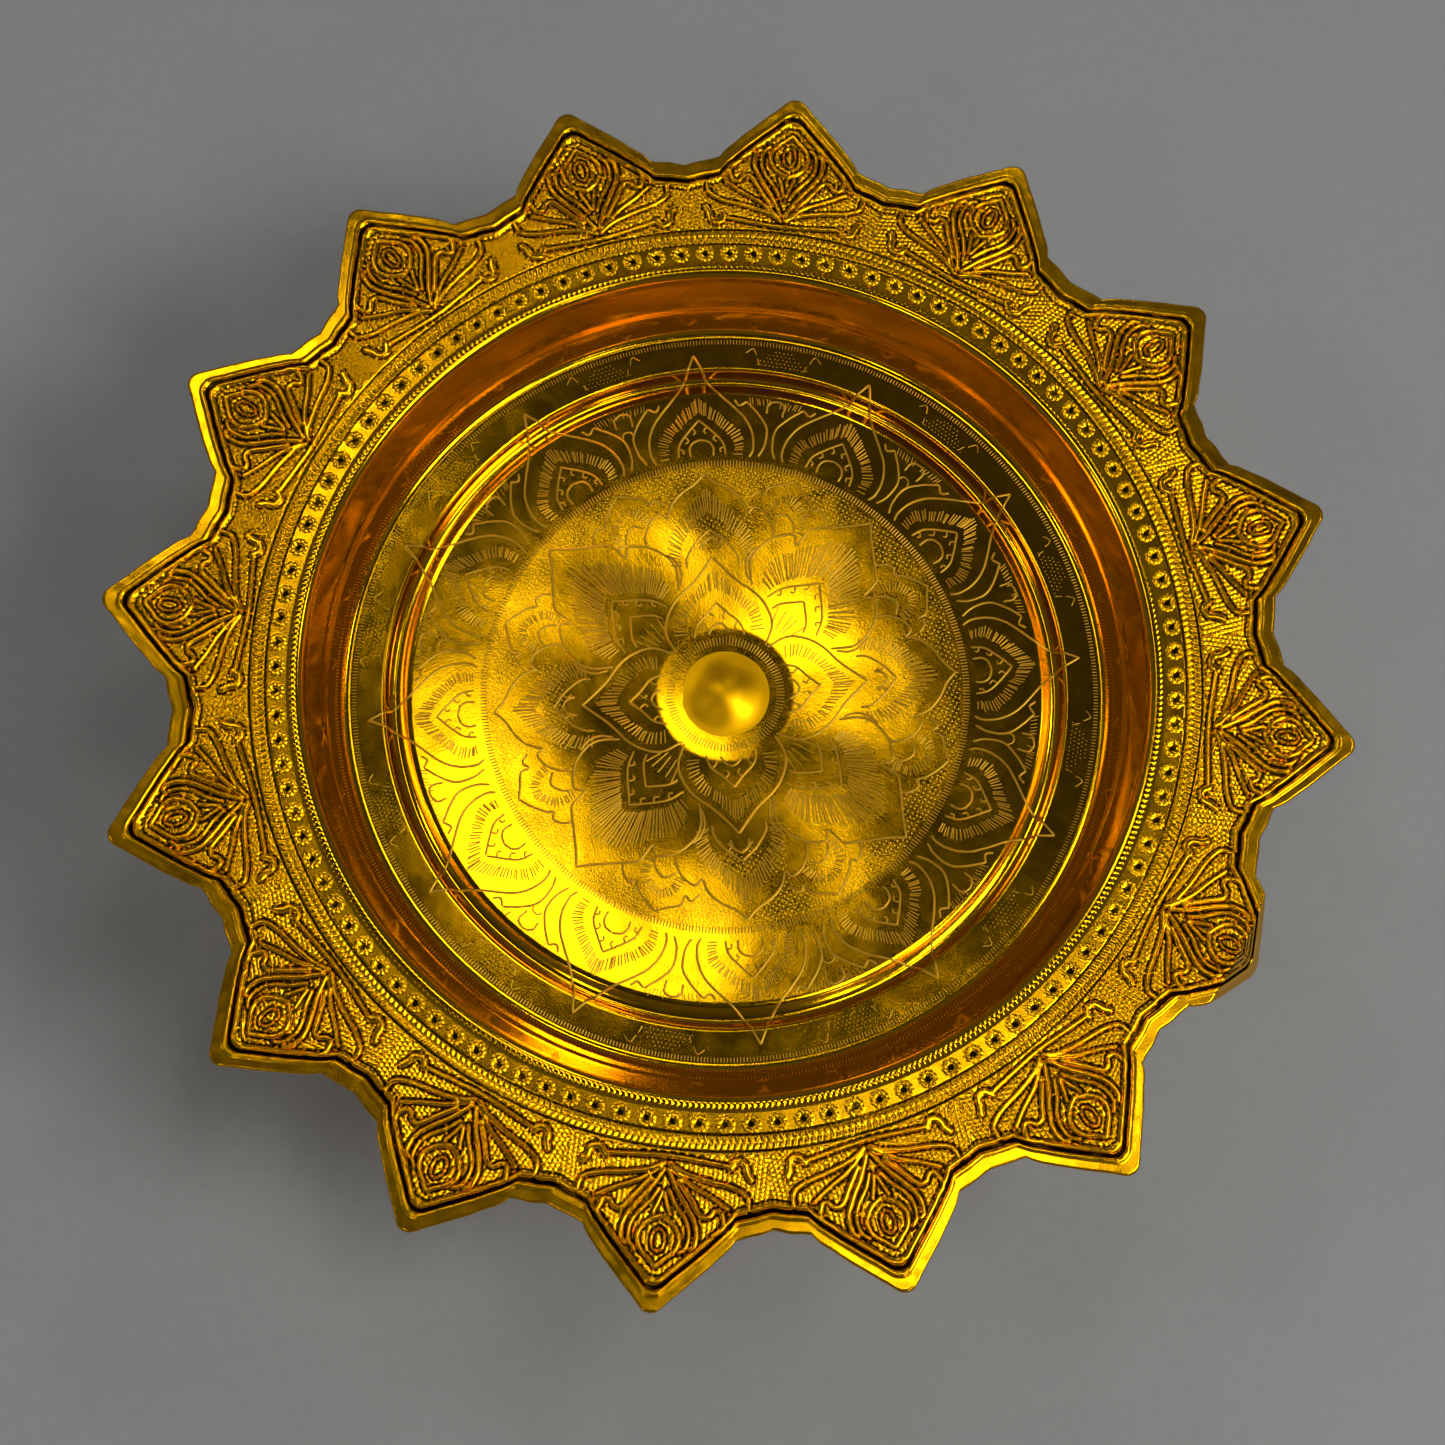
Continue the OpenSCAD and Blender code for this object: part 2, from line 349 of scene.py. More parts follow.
# %% Small petals, leaves, curls and fans
small_lines = [          # beside the diagonal petals: lines as [x, y] in the first quarter
    [(18.4, 43.6), (15.9, 43.2), (13.0, 42.8), (12.0, 41.0), (11.0, 42.3), (9.1, 41.2)],
    [(18.4, 43.6), (19.9, 41.4), (21.3, 38.6), (21.6, 36.8), (23.1, 37.0), (24.0, 35.2), (24.0, 33.4)],
    [(8.4, 37.9), (9.8, 39.1), (12.0, 37.5), (13.3, 34.4), (13.1, 32.4)],
    [(13.4, 36.4), (15.9, 36.9), (17.3, 34.9), (17.4, 32.9)],
    [(7.0, 23.6), (6.6, 26.2), (7.4, 28.6), (9.2, 30.4)],
]
small_fringe = [(12.6, 37.6), (14.3, 39.6), (16.9, 40.1), (18.8, 38.3), (19.6, 35.6), (18.4, 32.6)]


def quarter(line):
    """The line, and its mirror image on the other side of the diagonal."""
    line = np.asarray(line, float)
    return line, line[:, ::-1]


for k in range(4):
    a = FLOOR_TURN + k * math.pi / 2
    for line in small_lines:
        for half in quarter(soft(line)):
            chase(struck(turned(half, a), 0.05), 0.58, 0.16)
    rail = along(soft(small_fringe), 22)
    lean = np.gradient(rail, axis=0)
    lean = np.stack([-lean[:, 1], lean[:, 0]], -1) / np.hypot(*lean.T)[:, None]
    for p, n in zip(rail, lean):
        for half in quarter([p - n * 0.9, p + n * 0.9]):
            chase(struck(turned(half, a)), 0.46, 0.14)
    for j in range(5):                       # fan in the heart of each diagonal petal
        b = math.radians(45 + (j - 2) * 9)
        start = np.array([12.2, 12.2]) + (j - 2) * np.array([-0.75, 0.75])
        chase(struck(turned([start, start + np.array([math.cos(b), math.sin(b)]) * 4.2], a)), 0.42, 0.11)

leaf_behind = [(62.0, 10.4), (58.9, 12.6), (55.7, 13.9), (52.1, 13.1), (49.9, 11.6)]
leaf_hook = [(62.6, 7.9), (61.3, 8.8), (62.0, 10.4)]
curl = [(60.2, -1.7), (62.6, -1.9), (63.4, -0.2), (62.6, 1.5), (60.6, 1.6)]
little_curl = [(57.8, -1.2), (59.0, -0.6), (59.2, 0.7), (58.2, 1.3)]
for k in range(12):
    a = FLOOR_TURN + k * math.pi / 6
    for side in (as_drawn, mirrored):
        for line in (leaf_behind, leaf_hook):
            chase(struck(turned(side(soft(line)), a), 0.05), *LEAF)
    b = a + math.pi / 12
    chase(struck(turned(soft(curl), b)), *CURL)
    if k % 2:
        chase(struck(turned(soft(little_curl), b)), 0.40, 0.10)
    for j in range(-3, 4):                   # fan where the groove begins
        chase(struck(turned([(63.6, j * 0.75 + 3.4), (62.2, j * 0.7 + 3.0)], b)), *FAINT)
        chase(struck(turned([(63.6, j * 0.75 - 3.4), (62.2, j * 0.7 - 3.0)], b)), *FAINT)
print("strokes with the fillings:", len(strokes))

# %% Rings of short strokes, and dots between the petals
def ring_of_strokes(radius, length, count, width, height):
    """A ring of strokes that point at the middle."""
    for a in np.arange(count) * 2 * math.pi / count:
        ends = turned([(radius - length / 2, 0), (radius + length / 2, 0)], a)
        chase(ends, width, height * rng.uniform(0.85, 1.1))


def inside(poly, x, y):
    """Which of the points lie inside a closed outline."""
    odd = np.zeros(x.shape, bool)
    for (ax, ay), (bx, by) in zip(poly, np.roll(poly, -1, axis=0)):
        crosses = (ay > y) != (by > y)
        odd ^= crosses & (x < (bx - ax) * (y - ay) / (by - ay + 1e-12) + ax)
    return odd


ring_of_strokes(49.1, 1.3, 473, 0.44, 0.15)
ring_of_strokes(11.25, 1.6, 108, 0.40, 0.11)
ring_of_strokes(75.1, 0.9, 730, 0.34, 0.10)

grid_x, grid_y = np.meshgrid(np.arange(-50, 50, 0.95), np.arange(-50, 50, 0.95))
grid_x, grid_y = (grid_x + grid_y) * 0.707, (grid_y - grid_x) * 0.707
far = np.hypot(grid_x, grid_y)
free = (far > 33) & (far < 48.0)
for k in range(4):
    a = FLOOR_TURN + k * math.pi / 2
    for petal, b in ((outer_petal, a), (corner_petal, a + math.pi / 4)):
        half = soft(petal["outline"])
        free &= ~inside(turned(np.vstack([half, mirrored(half)[::-1]]), b), grid_x, grid_y)
    side_petal = np.vstack([soft(small_lines[0])[::-1], soft(small_lines[1]), [(22, 30), (9, 30)]])
    for half in quarter(side_petal):
        free &= ~inside(turned(half, a), grid_x, grid_y)
for x, y in zip(grid_x[free], grid_y[free]):
    x, y = x + rng.normal(0, 0.06), y + rng.normal(0, 0.06)
    chase([(x - 0.1, y - 0.07), (x + 0.1, y + 0.07)], 0.50, 0.11)
print("ground dots:", int(free.sum()))

# faint patches of dots with a hook and a short stroke beside them, on the outer floor
for k in range(12):
    a = FLOOR_TURN + (k + 0.5) * math.pi / 6
    for i in range(-6, 7):
        for j in range(5):
            if abs(i) < 7 - j:
                x, y = 70.3 + j * 0.8, i * 0.85 + 0.4 * (j % 2)
                chase(struck(turned([(x, y), (x + 0.25, y)], a), 0.05), 0.26, 0.05)
    for side in (as_drawn, mirrored):
        chase(struck(turned(side(soft([(72.6, -7.9), (73.8, -6.6), (72.3, -5.6)])), a)), *FAINTEST)
        chase(struck(turned(side([(70.2, -4.6), (71.6, -5.2)]), a)), *FAINTEST)

# %% Strokes as a beveled curve, turned to a mesh
TUBE = 0.1                                    # radius of the bevel in mm, scaled at each point


def deselect():
    if bpy.context.object and bpy.context.object.mode != "OBJECT":
        bpy.ops.object.mode_set(mode="OBJECT")
    bpy.ops.object.select_all(action="DESELECT")


def lay_strokes(name, chosen):
    """Lays the chosen strokes on the floor as one mesh."""
    deselect()
    curve = bpy.data.curves.new(name, "CURVE")
    curve.dimensions = "3D"
    curve.bevel_depth, curve.bevel_resolution, curve.use_fill_caps = TUBE * MM, 1, True
    for line, width, height in chosen:
        keep = line[np.concatenate([[True], np.hypot(*np.diff(line, axis=0).T) > 0.02])]
        pts = along(keep, max(len(keep), 3) if width < 0.3 else len(keep))     # faint ones get a middle point
        r = np.hypot(pts[:, 0], pts[:, 1])
        dips = np.clip((r - 63.9) / 0.6, 0, 1) * np.clip((69.6 - r) / 0.6, 0, 1)     # across the groove
        z = floor_height(pts[:, 0], pts[:, 1]) + height - dips * 0.03
        across = (width * width / 4 + height * height) / (2 * height)               # radius of the tube
        spline = curve.splines.new("POLY")
        spline.points.add(len(pts) - 1)
        line = np.stack([pts[:, 0] * MM, pts[:, 1] * MM, (z - across) * MM, np.ones(len(pts))], -1)
        spline.points.foreach_set("co", line.ravel())
        taper = np.ones(len(pts))
        taper[[0, -1]] = 0.82
        spline.points.foreach_set("radius", taper * across / TUBE)
    piece = bpy.data.objects.new(name, curve)
    bpy.context.collection.objects.link(piece)
    bpy.context.view_layer.objects.active = piece
    piece.select_set(True)
    bpy.ops.object.convert(target="MESH")
    piece = bpy.context.object
    bpy.ops.object.shade_smooth_by_angle(angle=math.radians(70))
    piece.data.calc_loop_triangles()
    print(name, "strokes:", len(chosen), "triangles:", len(piece.data.loop_triangles))
    return piece


far_out = np.array([np.hypot(*s[0].mean(axis=0)) for s in strokes])
chased = [lay_strokes("chasing_centre", [s for s, f in zip(strokes, far_out) if f < 33]),
          lay_strokes("chasing_flower", [s for s, f in zip(strokes, far_out) if 33 <= f < 49.8]),
          lay_strokes("chasing_hearts", [s for s, f in zip(strokes, far_out) if f >= 49.8])]

# %% [markdown]
# ## The petals' die
# The rim is stamped, so its lines stand up from the ground. One petal is described, again as
# half a shape, lying along the X axis. From the mouth outwards: a band of small rosettes, two
# rows of slanted strokes like the strands of a rope, a palmette on a ground of fine dots, and a
# double border along the edge. Each leaf of the palmette has a narrow groove on both sides.

# %% The edge of a petal
deep, blade_foot = TIP - NOTCH, NOTCH + 1.5
edge_line = np.vstack([                      # [part of half a pitch, radius]
    bezier([(0, TIP), (0.142, TIP - 0.42 * deep), (0.551, TIP - 0.62 * deep), (0.667, blade_foot)], 24),
    [(0.742, blade_foot - 0.4), (0.862, blade_foot - 0.8), (0.933, blade_foot - 1.2), (1, NOTCH)]])
# the blunt tip: [distance to the side, radius]
nose = np.array([(0, 124.6), (1.2, 124.35), (2.2, 123.5), (3.4, 122.2),
                 (5, 120.7), (7.5, 118.3), (10, 115.9), (12, 113.8)])
nose = np.stack([nose[:, 1], nose[:, 0] / nose[:, 1] / (PITCH / 2)], -1)      # radius, part of half a pitch


def edge_radius(angle):
    """Radius of the tray's edge in any direction."""
    part = np.abs((angle / PITCH + 0.5) % 1 - 0.5) * 2
    return np.where(part < nose[-1, 1], np.interp(part, nose[:, 1], nose[:, 0]),
                    np.interp(part, edge_line[:, 0], edge_line[:, 1]))


print("edge radius at tip and notch:", edge_radius(0.0), edge_radius(PITCH / 2))

# %% Raised lines of one petal
palmette = [             # ([distance from the centre, distance to the side], width, height)
    ([(95.4, 0.3), (95.5, 3), (96.0, 10), (96.2, 12.2)], 0.75, 0.26),
    ([(96.4, 12.0), (95.0, 13.0), (95.4, 14.6), (96.9, 15.2), (98.0, 16.0)], 1.2, 0.26),
    ([(96.8, 0.5), (98.2, 3.2), (99.2, 7.5), (99.9, 12.5), (101.2, 15.6), (103.6, 16.3)], 0.8, 0.28),
    ([(97.6, 1.0), (100.4, 5.0), (102.2, 9.0), (104.0, 12.4)], 0.7, 0.26),
    ([(99.8, 2.6), (103.0, 5.2), (105.8, 7.4), (105.9, 9.0), (104.7, 9.9), (104.9, 11.2),
      (107.4, 11.9), (109.4, 10.0)], 0.8, 0.28),
    ([(98.0, 0.4), (101.8, 2.6), (105.0, 5.0), (108.2, 6.9), (111.2, 7.0), (112.2, 6.1)], 0.75, 0.28),
    ([(101.6, 0.9), (104.2, 2.4), (106.8, 4.6), (109.2, 5.6), (111.8, 5.4), (113.2, 4.2)], 0.6, 0.24),
    ([(102.2, 0.2), (104.4, 0.9), (106.2, 1.6)], 0.6, 0.22),
    ([(106.6, 0.1), (108.0, 2.5), (110.4, 3.9), (112.8, 3.3), (114.8, 1.3), (116.0, 0.1)], 0.75, 0.3),
    ([(108.9, 0.0), (109.7, 0.95), (111.2, 1.25), (112.7, 0.9), (113.3, 0.0)], 0.45, 0.26),
]
fillers = [              # dots between the leaves
    (110.3, 0.0), (111.1, 0.4), (112.0, 0.0), (103.6, 14.2), (102.4, 13.6), (101.6, 14.6),
    (98.0, 5.4), (98.4, 7.6), (98.7, 9.8), (98.9, 11.8), (107.0, 3.2), (108.6, 4.2),
    (103.9, 3.7), (105.4, 5.8), (101.0, 7.0), (101.6, 8.4), (102.4, 10.2)]

petal_die = Die(84, 126, -26, 26)
grid_x, grid_y = np.meshgrid(np.arange(93, 119, 0.92), np.arange(-25, 25, 0.92))
grid_x[::2] += 0.46
angle = np.arctan2(grid_y, grid_x)
far = np.hypot(grid_x, grid_y)
ground = (far > 94.6) & (far < edge_radius(angle) * 0.951) & (np.abs(angle) < PITCH / 2 + 0.01)
for x, y in zip(grid_x[ground], grid_y[ground]):
    petal_die.press([(x - 0.16, y), (x + 0.16, y)], 0.66, 0.22 * rng.uniform(0.8, 1.1))
for line, width, height in palmette:
    line = soft(line)
    for half in (line, mirrored(line)):
        petal_die.press(half, width + 1.1, -0.26, full=True)      # wider than the leaf that comes on top
leaf_die = Die(84, 126, -26, 26)
for line, width, height in palmette:
    line = soft(line)
    for half in (line, mirrored(line)):
        leaf_die.press(half, width * 1.2, height * 1.2, full=True)
petal_die.h = np.where(leaf_die.h > 0.02, leaf_die.h, petal_die.h)        # the leaves lie over the grooves
for x, y in fillers:
    for half in (1, -1):
        petal_die.press([(x - 0.1, half * y), (x + 0.1, half * y)], 0.7, 0.16)

# %% Bands that run round the rim
def polar_line(radius, angle):
    return np.stack([radius * np.cos(angle), radius * np.sin(angle)], -1)


sweep = np.linspace(-PITCH / 2 - 0.02, PITCH / 2 + 0.02, 120)
for k, height in ((0.972, 0.26), (0.954, 0.34)):
    petal_die.press(polar_line(edge_radius(sweep) * k, sweep), 1.2, height)
petal_die.press(polar_line(edge_radius(sweep) * 0.963, sweep), 0.95, -0.42)
petal_die.press(polar_line(edge_radius(sweep) * 0.945, sweep), 0.6, -0.2)
for j in range(-4, 5):                       # seven rosettes to a petal
    a = j * PITCH / 7
    middle = polar_line(88.9, np.array([a]))[0]
    for b in np.arange(10) * math.pi / 5:
        p = middle + 1.35 * np.array([math.cos(b), math.sin(b)])
        petal_die.press([p - 0.05, p + 0.05], 0.78, 0.26)
    petal_die.press([middle - 0.1, middle + 0.1], 1.3, -0.28)
for radius, count, lean in ((91.6, 30, 0.5), (93.2, 30, -0.5)):
    for a in (np.arange(-17, 18) + 0.5) * PITCH / count:
        ends = polar_line(np.array([radius - 0.45, radius + 0.45]), np.array([a, a + lean * 0.006]))
        petal_die.press(ends, 0.66, 0.26)
for radius in (90.9, 94.0):
    petal_die.press(polar_line(radius + 0 * sweep, sweep), 0.5, -0.2)
print("highest line on a petal: %.2f mm" % petal_die.h.max())

# %% [markdown]
# ## From a flat grid to a sheet of metal
# `sheet_of_metal` starts with Blender's own grid primitive. Its columns are laid round the tray
# and its rows across it: out along the top, and back along the underside. The first and the last
# row meet, so after merging doubles the piece is one closed skin with real thickness. A piece
# that does not go all the way round gets a face over each of its two open ends.

# %% Lay a grid over a profile
def sheet_of_metal(name, points, relief, closed_round):
    """points and relief: arrays [row, column, xyz] in mm and [row, column]; the rows make a closed loop."""
    rows, cols = relief.shape
    deselect()
    bpy.ops.mesh.primitive_grid_add(x_subdivisions=cols - 1, y_subdivisions=rows - 1, size=2)
    piece = bpy.context.object
    piece.name = piece.data.name = name
    mesh = piece.data
    flat = np.empty(len(mesh.vertices) * 3, np.float32)
    mesh.vertices.foreach_get("co", flat)
    flat = flat.reshape(-1, 3)
    i = np.rint((flat[:, 0] + 1) / 2 * (cols - 1)).astype(int)
    j = np.rint((flat[:, 1] + 1) / 2 * (rows - 1)).astype(int)
    mesh.vertices.foreach_set("co", (points[j, i] * MM).astype(np.float32).ravel())
    mesh.attributes.new("relief", "FLOAT", "POINT")
    mesh.attributes["relief"].data.foreach_set("value", relief[j, i].astype(np.float32))
    bpy.ops.object.mode_set(mode="EDIT")
    bpy.ops.mesh.select_all(action="SELECT")
    bpy.ops.mesh.remove_doubles(threshold=2e-6)
    if not closed_round:
        bpy.ops.mesh.select_all(action="DESELECT")
        bpy.ops.mesh.select_mode(type="EDGE")
        bpy.ops.mesh.select_non_manifold(extend=False, use_boundary=True, use_wire=False,
                                         use_multi_face=False, use_non_contiguous=False, use_verts=False)
        bpy.ops.mesh.edge_face_add()
        bpy.ops.mesh.select_all(action="SELECT")
    bpy.ops.mesh.normals_make_consistent(inside=False)
    bpy.ops.object.mode_set(mode="OBJECT")
    bpy.ops.object.shade_smooth_by_angle(angle=math.radians(62))
    mesh.calc_loop_triangles()
    print(name, "triangles:", len(mesh.loop_triangles))
    return piece


# %% A ring of the dish between two radii
def ring_piece(name, r_in, r_out, cols, rows, teeth=None):
    """A closed ring of sheet between two radii of the dish. teeth: a function for extra relief."""
    s = np.concatenate([[0], np.cumsum(np.hypot(*np.diff(profile, axis=0).T))])
    s_in, s_out = np.interp([r_in, r_out], profile[:, 0], s)
    u = np.linspace(s_in, s_out, rows)
    r, z = np.interp(u, s, profile[:, 0]), np.interp(u, s, profile[:, 1])
    slope = np.arctan2(np.gradient(z), np.gradient(r))
    a = np.linspace(0, 2 * math.pi, cols + 1)
    R, A = np.meshgrid(r, a, indexing="ij")
    x, y = R * np.cos(A), R * np.sin(A)
    cut = teeth(R, A) if teeth else np.zeros(R.shape)
    lift = cut + dents(x, y)
    top = np.stack([x - lift * np.sin(slope)[:, None] * np.cos(A),
                    y - lift * np.sin(slope)[:, None] * np.sin(A),
                    z[:, None] + lift * np.cos(slope)[:, None]], -1)
    few = np.linspace(rows - 1, 0, max(4, rows // 9)).astype(int)     # underside: far fewer rows
    rb, zb = r[few] + SHEET * np.sin(slope[few]), z[few] - SHEET * np.cos(slope[few])
    under = np.stack([rb[:, None] * np.cos(a), rb[:, None] * np.sin(a), zb[:, None] + 0 * a], -1)
    points = np.concatenate([top, under, top[:1]])
    relief = np.concatenate([cut, np.zeros(under.shape[:2]), cut[:1]])
    points[:, -1] = points[:, 0]
    return sheet_of_metal(name, points, relief, True)


# %% The floor, and the wall with its beaded mouth
def mouth_beads(R, A):
    """A row of small beads on the rolled mouth: every third column of the grid is pressed down."""
    return 0.2 * np.exp(-((R - 86.0) / 0.55) ** 4) * np.where(np.arange(A.shape[1]) % 3, 1, -0.6)


dish_pieces = [
    ring_piece("dish_floor", 2.0, 64.3, 480, 150),
    ring_piece("dish_groove", 64.3, 75.9, 720, 90),
    ring_piece("dish_wall", 75.9, 86.8, 1440, 58, mouth_beads),
]

# %% [markdown]
# ## The petal rim
# Each piece of the rim holds two petals. Rows run from the mouth to the edge, so they spread
# out towards a tip and crowd together at a notch, and the outline comes out sharp. The very edge
# is rounded over, handling has bent most petals down a little, and one tip is pushed under.

# %% Two petals of the rim
BENT_PETAL = 14                               # the one whose tip is pushed under
petal_bend = rng.uniform(-0.1, 0.6, PETALS)   # how far each tip hangs down, in mm


def rim_pair(name, first):
    per, rows = 200, 160
    a = np.linspace((first - 0.5) * PITCH, (first + 1.5) * PITCH, 2 * per + 1)
    v = np.linspace(0, 1, rows)[:, None]
    uneven = 0.12 * (1 + np.sin(a * 97) * np.sin(a * 41 + 1)) * np.abs(np.sin(a * PETALS / 2))
    edge = edge_radius(a) - uneven                # the press cuts the edge a little unevenly
    R = 86.8 + v * (edge - 86.8)
    local = (a / PITCH + 0.5) % 1 - 0.5
    local[-1] = 0.5
    cut = petal_die.read(R * np.cos(local * PITCH), R * np.sin(local * PITCH))
    x, y = R * np.cos(a), R * np.sin(a)
    margin = edge - R
    round_off = -0.3 * np.clip(1 - margin / 0.5, 0, 1) ** 2
    number = np.rint(a / PITCH).astype(int) % PETALS
    reach = np.clip((R - 100) / 25, 0, 1)
    droop = petal_bend[number] * reach ** 2 * np.cos(local * math.pi) ** 2
    wavy = (0.05 * waves(x, y, 13, 11) * np.clip((R - 87) / 4, 0, 1)
            + 0.018 * waves(x, y, 3.2, 12) * np.clip((R - 112) / 4, 0, 1))
    wavy = np.minimum(wavy, 0.03)
    # at the bent petal, everything past the fold goes down steeply
    past = np.clip(R - 113.5, 0, None) * (number == BENT_PETAL)
    R = R - past * 0.52
    x, y = R * np.cos(a), R * np.sin(a)
    top = np.stack([x, y, GROUND + cut + round_off + wavy - droop - past * 0.8], -1)
    few = np.linspace(rows - 1, 0, 10).astype(int)
    under = top[few].copy()
    under[..., 2] += -SHEET - (cut + round_off + wavy)[few]
    points = np.concatenate([top, under, top[:1]])
    relief = np.concatenate([cut, np.zeros(under.shape[:2]), cut[:1]])
    return sheet_of_metal(name, points, relief, False)


dish_pieces += [rim_pair("dish_rim_%d" % (q + 1), 2 * q) for q in range(PETALS // 2)]

# %% [markdown]
# ## The foot
# The foot is spun: a disc is pressed against a turning wooden former. A lathe in Blender is the
# Spin operator: one line of edges is extruded round the axis. The line here follows the CAD
# foot, with two beads rolled in, and Solidify gives the wall its thickness.

# %% Spin the foot
foot_lo, foot_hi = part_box("foot")
print("foot box (mm):", [round(v * 1000, 1) for v in (*foot_lo, *foot_hi)])
foot_line = np.vstack([
    [(2.0, 98.55), (14, 98.55), (28, 99.25), (42.6, 99.85)],
    bezier([(43.4, 99.7), (45.6, 99.25), (45.8, 96.45), (43.2, 93.45)], 10),
    bezier([(41.6, 91.8), (34, 83.1), (29, 78.1), (29, 69.1)], 16),
    bezier([(29.3, 66.1), (32, 44.1), (52, 20), (69, 11.5)], 44),
    bezier([(70.2, 10.9), (72.4, 9.6), (73.4, 8.4), (73.4, 2.6)], 10),
    bezier([(73.4, 2.0), (73.3, 0.55), (75.55, 0.55), (75.45, 2.0)], 9),
    bezier([(75.35, 2.2), (75.1, 2.9), (74.6, 3.0), (74.3, 2.7)], 5)])
for height, size in ((73.6, 0.8), (65.4, 0.55)):          # beads rolled into the waist
    near = np.exp(-((foot_line[:, 1] - height) / 1.0) ** 2) * size
    foot_line[:, 0] += near
foot_line[:, 1] = np.maximum(foot_line[:, 1], 0.82)      # the wall goes 0.8 mm below this line


def lathe(name, line, turns, wall=0.0):
    """Spins a line of [radius, height] points round the Z axis."""
    deselect()
    bpy.ops.mesh.primitive_plane_add(size=1)
    piece = bpy.context.object
    piece.name = piece.data.name = name
    bpy.ops.object.mode_set(mode="EDIT")
    bpy.ops.mesh.delete(type="VERT")
    bpy.ops.object.mode_set(mode="OBJECT")
    mesh = piece.data
    mesh.vertices.add(len(line))
    mesh.edges.add(len(line) - 1)
    mesh.vertices.foreach_set("co", np.array([(r * MM, 0, z * MM) for r, z in line], np.float32).ravel())
    mesh.edges.foreach_set("vertices", np.array([(k, k + 1) for k in range(len(line) - 1)], np.int32).ravel())
    mesh.update()
    bpy.ops.object.mode_set(mode="EDIT")
    bpy.ops.mesh.select_all(action="SELECT")
    bpy.ops.mesh.spin(steps=turns, angle=2 * math.pi, center=(0, 0, 0), axis=(0, 0, 1))
    bpy.ops.mesh.select_all(action="SELECT")
    bpy.ops.mesh.remove_doubles(threshold=2e-6)
    bpy.ops.mesh.normals_make_consistent(inside=False)
    bpy.ops.object.mode_set(mode="OBJECT")
    if wall:
        solid = piece.modifiers.new("wall", "SOLIDIFY")
        solid.thickness, solid.offset = wall * MM, -1
        bpy.ops.object.modifier_apply(modifier="wall")
    bpy.ops.object.shade_smooth_by_angle(angle=math.radians(40))
    print(name, "faces:", len(mesh.polygons))
    return piece


foot = lathe("foot_spun", foot_line, 192, 0.8)

# %% [markdown]
# ## The rivet and its washer
# The boss in the middle of the dish is the broad polished head of the rivet. Its edge is eased
# so that it seems to grow out of the floor. The tail is only seen from below.

# %% Rivet head, shank and tail
dome = [(r, 99.42 + 1.0 * (1 + math.cos(math.pi * r / 9.0))) for r in np.linspace(0.0, 9.0, 26)]
rivet_line = dome + [(8.9, 99.36), (2.0, 99.36), (2.0, 96.8),             # under the head, down the shank
                     (3.6, 96.78), (3.8, 96.5), (2.9, 95.3), (1.6, 95.2), (0, 95.2)]      # the tail
washer_line = [(2.05, 96.85), (6.8, 96.85), (7.0, 97.0), (7.0, 97.6), (6.8, 97.75),
               (2.05, 97.75), (2.05, 96.85)]
rivet = lathe("rivet_domed", rivet_line, 96)
washer = lathe("washer_plain", washer_line, 72)

# %% [markdown]
# ## Gold lacquer over pressed sheet
# The colour is far more yellow than bare brass: a clear lacquer tinted gold lies over a bright
# metal. A metal in Principled BSDF takes its reflection colour from Base Color. Seen twice, as
# between the wall and the floor, the light is coloured twice and turns orange, which the real
# tray shows and which comes for free here. Hex colours are sRGB, and Blender wants linear
# numbers, so one function turns them.

# %% Colour and node helpers
def linear(code):
    parts = [int(code[i:i + 2], 16) / 255 for i in (1, 3, 5)]
    return [p / 12.92 if p <= 0.04045 else ((p + 0.055) / 1.055) ** 2.4 for p in parts] + [1.0]


def add_node(material, kind, links=(), **settings):
    """Adds a node, sets its properties and sockets, and links (socket, other node, output)."""
    node = material.node_tree.nodes.new(kind)
    for key, value in settings.items():
        if hasattr(node, key) and key not in node.inputs:
            setattr(node, key, value)
        else:
            node.inputs[key.replace("_", " ")].default_value = value
    for socket, other, output in links:
        material.node_tree.links.new(other.outputs[output], node.inputs[socket])
    return node


def set_range(node, from_min, from_max, to_min, to_max):
    """Fills in the four values of a Map Range node."""
    keys = "From Min", "From Max", "To Min", "To Max"
    for key, value in zip(keys, (from_min, from_max, to_min, to_max)):
        node.inputs[key].default_value = value


def new_material(name):
    material = bpy.data.materials.new(name)
    material.use_nodes = True
    material.node_tree.nodes.clear()
    return material


